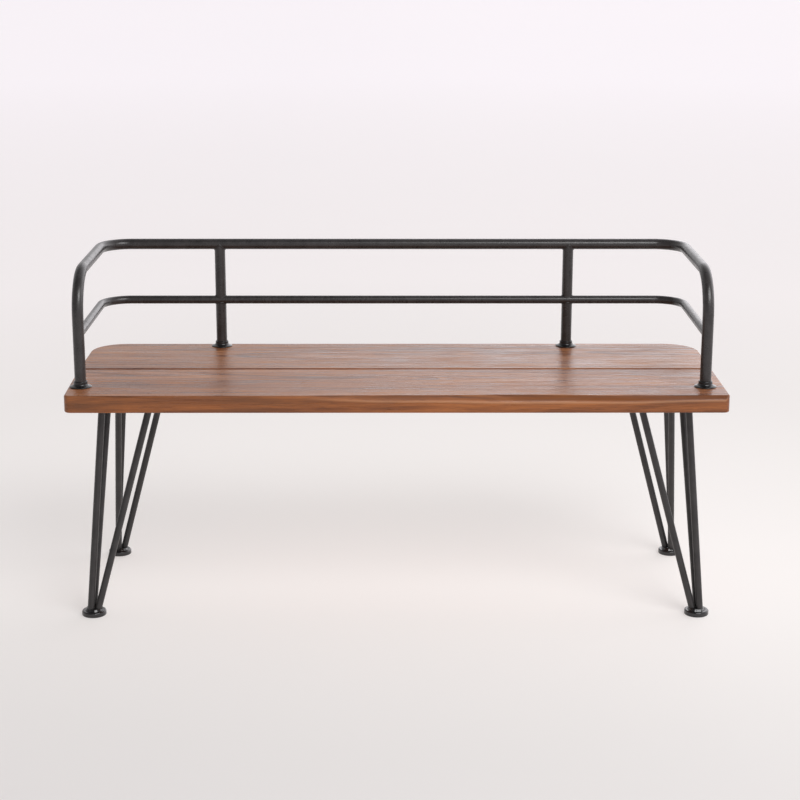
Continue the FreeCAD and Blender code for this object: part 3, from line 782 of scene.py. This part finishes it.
def edge_column(x, normal, amount, eased, top, seed):
    """The edge of a plank at one place, from its underside to its top, as (inset, height, dark, lit).
    amount is how waney it is there, dark the natural band and lit a painted highlight on the ridge below."""
    drop = RIDGE_DEEP + RIDGE_LOWER * smooth(0.05, 0.25, x) - RIDGE_HIGHER * smooth(0.42, 0.62, x)
    drop += RIDGE_WOBBLE * waves(x * 6, seed, 1.5)
    back = BAND_BACK + BAND_FURTHER * smooth(0.08, 0.20, x) * (1 - smooth(0.27, 0.42, x))
    back += BAND_WOBBLE * waves(x * 9, seed, 4.5)
    ridge_deep = mix(eased, drop, amount)
    recess = mix(eased, back, amount)
    ridge_at = top - ridge_deep
    column = [(eased + FLAT_RING, 0.0, 0.0, 0.0)]
    for k in range(UNDER_STEPS + 1):
        angle = math.pi / 2 * k / UNDER_STEPS
        column.append((eased * (1 - math.sin(angle)), eased * (1 - math.cos(angle)), 0.0, 0.0))
    for level in SIDE_LEVELS:
        hollow = SIDE_HOLLOW * amount * math.sin(math.pi * min(1.0, level * 1.02))
        column.append((hollow, mix(eased, ridge_at, level), 0.0, amount * smooth(0.78, 0.97, level)))
    for k in range(BAND_STEPS + 1):
        t = k / BAND_STEPS
        angle = math.pi / 2 * t
        oval = (recess * (1 - math.cos(angle)), ridge_deep * math.sin(angle))
        chord = (recess * t, ridge_deep * t)
        inset = mix(oval[0], chord[0], BAND_FLAT * amount)
        rise = mix(oval[1], chord[1], BAND_FLAT * amount)
        arris = ARRIS_DARK * smooth(0.2, 0.6, t) * max(0.0, -normal.y)
        dark = mix(arris, smooth(0.10, 0.30, t), amount) * (1 - smooth(0.96, 1.0, t))
        dark *= mix(LEFT_DARK, 1.0, smooth(0.10, 0.30, x))
        column.append((inset, ridge_at + rise, dark, amount * (1 - smooth(0.0, 0.16, t))))
    column.append((recess + FLAT_RING, top, 0.0, 0.0))
    return column


def board(name, corners, lo, hi, live, gap_side, material, node, seed):
    """A plank as rings, from its underside, over its edge, to its top.
    live(x, normal) is how much of the waney upper edge there is: 0 is a plain sanded edge.
    gap_side is +1 or -1: the y side that faces the other plank and keeps sharper arrises."""
    columns = []
    for where, normal in outline(corners):
        eased = mix(EDGE_ROUND, GAP_ROUND, smooth(0.75, 0.98, normal.y * gap_side))
        wobble = EDGE_SHIFT + EDGE_WOBBLE * waves(where.x * 4, where.y * 4, seed)
        placed = []
        edge = edge_column(where.x, normal, live(where.x, normal), eased, hi.z - lo.z, seed)
        for inset, height, dark, lit in edge:
            spot = where - normal * (inset + (wobble if inset < EDGE_KEEP else 0))
            placed.append((spot, height, dark, lit))
        columns.append(placed)
    rings = []
    bands = []
    ridge_highlights = []
    for level in zip(*columns):
        rings.append([Vector((spot.x, spot.y, lo.z + height)) for spot, height, _, _ in level])
        bands += [dark for _, _, dark, _ in level]
        ridge_highlights += [lit for _, _, _, lit in level]
    points, faces = skin(rings)
    piece(name, points, faces, material, (node,), {"band": bands, "ridge": ridge_highlights})


def waney(x, normal):
    """The front edge keeps a natural, hand-sanded upper edge over its right half."""
    return smooth(0.75, 0.98, -normal.y) * smooth(-0.22, -0.02, x)


def plain(x, normal):
    """No waney edge anywhere."""
    return 0.0


front_corners = (
    (seat_lo.x + FRONT_LEAN, seat_lo.y, FRONT_CORNER),
    (seat_hi.x, seat_lo.y, FRONT_CORNER),
    (seat_hi.x, seat_hi.y, GAP_CORNER),
    (seat_lo.x, seat_hi.y, GAP_CORNER),
)
rear_corners = (
    (rear_lo.x, rear_lo.y, GAP_CORNER),
    (rear_hi.x, rear_lo.y, GAP_CORNER),
    (rear_hi.x, rear_hi.y, REAR_CORNER),
    (rear_lo.x, rear_hi.y, REAR_CORNER),
)
board("seat_board_front", front_corners, seat_lo, seat_hi, waney, 1, FRONT_WOOD, "front_plank", 2.3)
board("seat_board_rear", rear_corners, rear_lo, rear_hi, plain, -1, REAR_WOOD, "rear_plank", 5.9)

# ---------------------------------------------------------------- CAD nodes that stay as they are
KEPT = {
    "batten": BATTEN_WOOD,
    "leg_plate": LEG_METAL,
    "leg_screws": FASTENER,
    "batten_screws": FASTENER,
    "post_bolts": FASTENER,
    "post_washers": FASTENER,
    "post_plugs": FASTENER,
}
for node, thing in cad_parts.items():
    for start in sorted(KEPT, key=len):
        if not node.startswith(start):
            continue
        if thing.material_slots:
            for slot in thing.material_slots:
                slot.material = KEPT[start]
        else:
            thing.data.materials.append(KEPT[start])

# ---------------------------------------------------------------- floor, light and camera
FLOOR_R = 90.0
FLOOR_SIDES = 96
GLOW_CENTRE = (0.0, 0.6, 0.0)
GLOW_REACH = 20.0
PAPER = (0.60, 0.585, 0.575, 1.0)
PAPER_CLOUD = (0.54, 0.53, 0.525, 1.0)
# Painted light: the floor's glow by distance from the bench, brighter far away.
FLOOR_GLOW = (
    (0.0, (0.455, 0.435, 0.42)),
    (0.07, (0.425, 0.405, 0.395)),
    (0.14, (0.505, 0.475, 0.478)),
    (0.60, (0.60, 0.565, 0.60)),
)


def floor_paint():
    """Pale studio floor. Its own faint glow stands for the light that a white studio sends back from all
    round, so that shadows on it stay soft and pale. The glow is painted light that grows away from the
    bench;
    colour and glow darken towards the front and left as painted shade."""
    s = Shader("studio_floor")
    place = s.place()
    cloud = s.noise(place, (1.3, 1.3, 1.3), 3.0, 0.5)
    paper = s.blend(s.between(cloud, 0.35, 0.7, 0.0, 0.08), PAPER, PAPER_CLOUD)
    # Painted shade: colour and glow grow darker towards the front and the left.
    to_front = s.between(s.part(place, 1), -1.3, 0.1, 0.76, 1.0)
    to_left = s.between(s.part(place, 0), -1.2, 1.2, 0.972, 0.985)
    painted_falloff = s.times(to_front, to_left)
    away = s.length(s.vector("SUBTRACT", place, GLOW_CENTRE))
    glow = s.ramp(s.number("DIVIDE", away, GLOW_REACH), FLOOR_GLOW)
    s.set(Base_Color=s.vector("MULTIPLY", paper, painted_falloff),
          Emission_Color=s.vector("MULTIPLY", glow, painted_falloff),
          Emission_Strength=1.0,
          Roughness=0.9,
          Specular_IOR_Level=0.1)
    return s.material


ring = [(FLOOR_R * x, FLOOR_R * y, 0.0) for x, y in spokes(FLOOR_SIDES)]
floor_mesh = bpy.data.meshes.new("studio_floor")
floor_mesh.from_pydata(ring, [], [tuple(range(FLOOR_SIDES))])
floor_mesh.materials.append(floor_paint())
floor = bpy.data.objects.new("studio_floor", floor_mesh)
bpy.context.scene.collection.objects.link(floor)

WORLD_ROUND = ((0.30, (0.72, 0.705, 0.71)), (0.46, (1.02, 1.00, 1.02)),
               (0.50, (1.75, 1.71, 1.75)), (0.56, (2.05, 2.00, 2.06)))
WORLD_RISE = ((0.42, (1.0, 1.0, 1.0)), (0.85, (0.25, 0.25, 0.25)))
WORLD_FRONT = ((0.46, (0.42, 0.42, 0.42)), (0.54, (1.0, 1.0, 1.0)))


def studio_world():
    """Bright wall behind the bench, brighter to the right; dimmer room in front and darker overhead.
    The three ramps run along x, y and z of the direction and are multiplied."""
    world = bpy.data.worlds.new("studio_world")
    world.use_nodes = True
    tree = world.node_tree
    direction = tree.nodes.new("ShaderNodeTexCoord")
    halves = tree.nodes.new("ShaderNodeVectorMath")
    halves.operation = "MULTIPLY_ADD"
    halves.inputs[1].default_value = (0.5, 0.5, 1.0)
    halves.inputs[2].default_value = (0.5, 0.5, 0.0)
    tree.links.new(direction.outputs["Generated"], halves.inputs[0])
    split = tree.nodes.new("ShaderNodeSeparateXYZ")
    tree.links.new(halves.outputs[0], split.inputs[0])
    light = None
    for axis, stops in ((0, WORLD_ROUND), (1, WORLD_FRONT), (2, WORLD_RISE)):
        ramp = tree.nodes.new("ShaderNodeValToRGB")
        set_stops(ramp.color_ramp, stops)
        tree.links.new(split.outputs[axis], ramp.inputs[0])
        if light is None:
            light = ramp.outputs[0]
            continue
        both = tree.nodes.new("ShaderNodeVectorMath")
        both.operation = "MULTIPLY"
        tree.links.new(light, both.inputs[0])
        tree.links.new(ramp.outputs[0], both.inputs[1])
        light = both.outputs[0]
    tree.links.new(light, tree.nodes["Background"].inputs["Color"])
    tree.nodes["Background"].inputs["Strength"].default_value = 1.0
    return world


bpy.context.scene.world = studio_world()


KEY_PLACE = Vector((1.55, -2.5, 3.0))
KEY_AIM = Vector((0.0, 0.0, SEAT_TOP))
KEY_WIDE = 2.6
KEY_HIGH = 1.7
KEY_WATTS = 80.0
key_light = bpy.data.lights.new("softbox_key", "AREA")
key_light.shape = "RECTANGLE"
key_light.size = KEY_WIDE
key_light.size_y = KEY_HIGH
key_light.energy = KEY_WATTS
softbox = bpy.data.objects.new("softbox_key", key_light)
softbox.location = KEY_PLACE
softbox.rotation_euler = (KEY_AIM - KEY_PLACE).to_track_quat("-Z", "Y").to_euler()
softbox.visible_camera = False
bpy.context.scene.collection.objects.link(softbox)

CAMERA_PLACE = Vector((-0.0110, -3.6679, 1.34365))
LOOK_DOWN = 0.2535
LOOK_ASIDE = 0.0056
ROLL = 0.0010
LENS = 83.545
SENSOR = 36.0
forward = Vector((math.sin(LOOK_ASIDE) * math.cos(LOOK_DOWN), math.cos(LOOK_ASIDE) * math.cos(LOOK_DOWN),
                  -math.sin(LOOK_DOWN)))
level_right = Vector((math.cos(LOOK_ASIDE), -math.sin(LOOK_ASIDE), 0))
level_up = level_right.cross(forward)
right = level_right * math.cos(ROLL) + level_up * math.sin(ROLL)
upward = level_up * math.cos(ROLL) - level_right * math.sin(ROLL)
camera_data = bpy.data.cameras.new("camera")
camera_data.sensor_width = SENSOR
camera_data.lens = LENS
camera_data.clip_start = 0.05
camera_data.clip_end = 300.0
camera = bpy.data.objects.new("camera", camera_data)
turn = Matrix((right, upward, -forward)).transposed()
camera.matrix_world = Matrix.Translation(CAMERA_PLACE) @ turn.to_4x4()
bpy.context.scene.collection.objects.link(camera)
bpy.context.scene.camera = camera
bpy.context.scene.view_settings.view_transform = "Standard"
